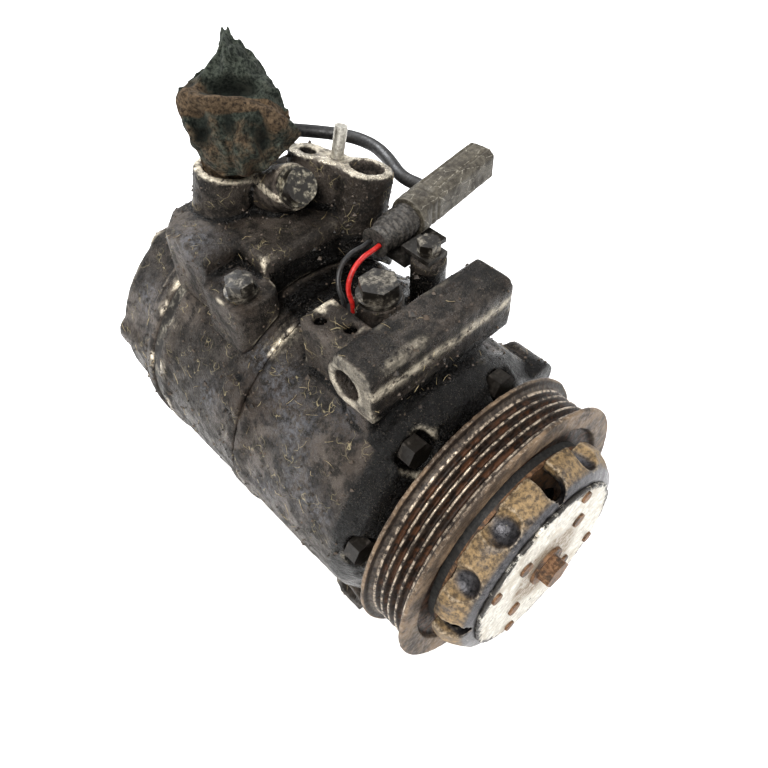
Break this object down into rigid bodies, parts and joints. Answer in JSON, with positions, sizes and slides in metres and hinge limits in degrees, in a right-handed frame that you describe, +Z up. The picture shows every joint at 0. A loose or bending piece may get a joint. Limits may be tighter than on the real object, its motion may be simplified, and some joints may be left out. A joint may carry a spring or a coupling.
{
  "type": "swash plate refrigerant compressor",
  "caption": "Belt-driven axial piston refrigerant compressor: grooved pulley, stamped hub, cylindrical cast body, mounting lugs, port block on top, wired connector and a rag in the open port.",
  "frame": {"origin": "on the shaft axis, in the middle plane of the belt", "axes": "+Y along the shaft from the pulley to the rear housing, +Z up through the port block, +X to the right seen from the pulley"},
  "size_m": [0.1474, 0.2148, 0.2075],
  "materials": {
    "cast_grimy": "oily dark cast aluminium with worn bright edges",
    "cast_clean": "machined cast aluminium",
    "pulley_steel": "dark pressed steel with rust and bright rib crests",
    "hub_steel": "dark stamped steel with ochre dust",
    "worn_face": "worn silver disc with rust marks",
    "rusty_fastener": "rusty steel",
    "bolt_steel": "oily steel bolt",
    "bearing_steel": "ground bearing steel",
    "shaft_steel": "ground steel",
    "piston_alloy": "machined aluminium",
    "valve_steel": "spring steel sheet",
    "gasket": "black coated gasket",
    "seal_rubber": "black rubber",
    "brass_plug": "dirty brass plug",
    "connector_plastic": "grey-olive plastic with grime",
    "bracket_steel": "dark sheet steel",
    "black_cable": "black cable sheath",
    "red_insulation": "red wire insulation",
    "rag_cloth": "dirty green and brown rag"
  },
  "bodies": {
    "root": {"front_housing": "cast_grimy", "bearing_inner_race": "bearing_steel", "bearing_snap_ring": "bearing_steel", "shaft_seal": "seal_rubber", "front_radial_bearing": "bearing_steel", "front_thrust_bearing": "bearing_steel", "cylinder_block": "cast_grimy", "housing_seal_ring": "seal_rubber", "rear_radial_bearing": "bearing_steel", "block_gasket": "gasket", "suction_reed_plate": "valve_steel", "valve_plate": "valve_steel", "discharge_reed_plate": "valve_steel", "rear_gasket": "gasket", "rear_housing": "cast_grimy", "control_valve": "brass_plug", "through_bolts": "bolt_steel", "port_block": "cast_grimy", "port_block_gasket": "gasket", "port_block_bolts": "bolt_steel", "port_stud": "cast_clean", "relief_valve": "brass_plug", "connector_housing": "connector_plastic", "connector_boot": "seal_rubber", "connector_bracket": "bracket_steel", "harness_bolts": "bolt_steel", "black_wire": "black_cable", "red_wire": "red_insulation", "valve_cable": "black_cable", "wire_grommet": "seal_rubber", "rag_stopper": "rag_cloth"},
    "rotor": {"belt_pulley": "pulley_steel", "bearing_outer_race": "bearing_steel", "hub_cup": "hub_steel", "hub_boss": "hub_steel", "hub_face_disc": "worn_face", "hub_rivets": "rusty_fastener", "centre_washer": "rusty_fastener", "centre_bolt": "rusty_fastener", "limiter_plate": "hub_steel", "damper_ring": "seal_rubber", "drive_shaft": "shaft_steel", "lug_plate": "shaft_steel"},
    "ball_cage": {"bearing_balls": "bearing_steel", "bearing_cage": "bearing_steel"},
    "swash": {"swash_plate": "shaft_steel"},
    "piston_1": {"piston_1": "piston_alloy"},
    "shoes_1": {"piston_shoes_1": "bearing_steel"},
    "piston_2": {"piston_2": "piston_alloy"},
    "shoes_2": {"piston_shoes_2": "bearing_steel"},
    "piston_3": {"piston_3": "piston_alloy"},
    "shoes_3": {"piston_shoes_3": "bearing_steel"},
    "piston_4": {"piston_4": "piston_alloy"},
    "shoes_4": {"piston_shoes_4": "bearing_steel"},
    "piston_5": {"piston_5": "piston_alloy"},
    "shoes_5": {"piston_shoes_5": "bearing_steel"},
    "piston_6": {"piston_6": "piston_alloy"},
    "shoes_6": {"piston_shoes_6": "bearing_steel"},
    "piston_7": {"piston_7": "piston_alloy"},
    "shoes_7": {"piston_shoes_7": "bearing_steel"}
  },
  "joints": [
    {"name": "rotor_spin", "type": "hinge", "parent": "root", "child": "rotor", "pos_m": [0, 0, 0], "axis": [0, 1, 0], "continuous": true},
    {"name": "cage_spin", "type": "hinge", "parent": "root", "child": "ball_cage", "pos_m": [0, 0, 0], "axis": [0, 1, 0], "continuous": true},
    {"name": "swash_tilt", "type": "hinge", "parent": "root", "child": "swash", "pos_m": [0, 0.062, 0], "axis": [1, 0, 0], "range_deg": [0, 15]},
    {"name": "piston_1_slide", "type": "slide", "parent": "root", "child": "piston_1", "axis": [0, 1, 0], "range_m": [-0.01019, 0]},
    {"name": "shoes_1_rock", "type": "hinge", "parent": "piston_1", "child": "shoes_1", "pos_m": [0, 0.062, 0.038], "axis": [1, 0, 0], "range_deg": [-1, 16]},
    {"name": "piston_2_slide", "type": "slide", "parent": "root", "child": "piston_2", "axis": [0, 1, 0], "range_m": [-0.00636, 0]},
    {"name": "shoes_2_rock", "type": "hinge", "parent": "piston_2", "child": "shoes_2", "pos_m": [-0.02971, 0.062, 0.02369], "axis": [1, 0, 0], "range_deg": [-1, 16]},
    {"name": "piston_3_slide", "type": "slide", "parent": "root", "child": "piston_3", "axis": [0, 1, 0], "range_m": [0, 0.00228]},
    {"name": "shoes_3_rock", "type": "hinge", "parent": "piston_3", "child": "shoes_3", "pos_m": [-0.03705, 0.062, -0.00846], "axis": [1, 0, 0], "range_deg": [-1, 16]},
    {"name": "piston_4_slide", "type": "slide", "parent": "root", "child": "piston_4", "axis": [0, 1, 0], "range_m": [0, 0.00918]},
    {"name": "shoes_4_rock", "type": "hinge", "parent": "piston_4", "child": "shoes_4", "pos_m": [-0.01649, 0.062, -0.03424], "axis": [1, 0, 0], "range_deg": [-1, 16]},
    {"name": "piston_5_slide", "type": "slide", "parent": "root", "child": "piston_5", "axis": [0, 1, 0], "range_m": [0, 0.00918]},
    {"name": "shoes_5_rock", "type": "hinge", "parent": "piston_5", "child": "shoes_5", "pos_m": [0.01649, 0.062, -0.03424], "axis": [1, 0, 0], "range_deg": [-1, 16]},
    {"name": "piston_6_slide", "type": "slide", "parent": "root", "child": "piston_6", "axis": [0, 1, 0], "range_m": [0, 0.00228]},
    {"name": "shoes_6_rock", "type": "hinge", "parent": "piston_6", "child": "shoes_6", "pos_m": [0.03705, 0.062, -0.00846], "axis": [1, 0, 0], "range_deg": [-1, 16]},
    {"name": "piston_7_slide", "type": "slide", "parent": "root", "child": "piston_7", "axis": [0, 1, 0], "range_m": [-0.00636, 0]},
    {"name": "shoes_7_rock", "type": "hinge", "parent": "piston_7", "child": "shoes_7", "pos_m": [0.02971, 0.062, 0.02369], "axis": [1, 0, 0], "range_deg": [-1, 16]}
  ],
  "couplings": [
    {"joint": "cage_spin", "follows": "rotor_spin", "ratio": 0.5642},
    {"joint": "piston_1_slide", "follows": "swash_tilt", "m_per_rad": -0.038893},
    {"joint": "shoes_1_rock", "follows": "swash_tilt", "ratio": 1},
    {"joint": "piston_2_slide", "follows": "swash_tilt", "m_per_rad": -0.024249},
    {"joint": "shoes_2_rock", "follows": "swash_tilt", "ratio": 1},
    {"joint": "piston_3_slide", "follows": "swash_tilt", "m_per_rad": 0.008654},
    {"joint": "shoes_3_rock", "follows": "swash_tilt", "ratio": 1},
    {"joint": "piston_4_slide", "follows": "swash_tilt", "m_per_rad": 0.035041},
    {"joint": "shoes_4_rock", "follows": "swash_tilt", "ratio": 1},
    {"joint": "piston_5_slide", "follows": "swash_tilt", "m_per_rad": 0.035041},
    {"joint": "shoes_5_rock", "follows": "swash_tilt", "ratio": 1},
    {"joint": "piston_6_slide", "follows": "swash_tilt", "m_per_rad": 0.008654},
    {"joint": "shoes_6_rock", "follows": "swash_tilt", "ratio": 1},
    {"joint": "piston_7_slide", "follows": "swash_tilt", "m_per_rad": -0.024249},
    {"joint": "shoes_7_rock", "follows": "swash_tilt", "ratio": 1}
  ]
}
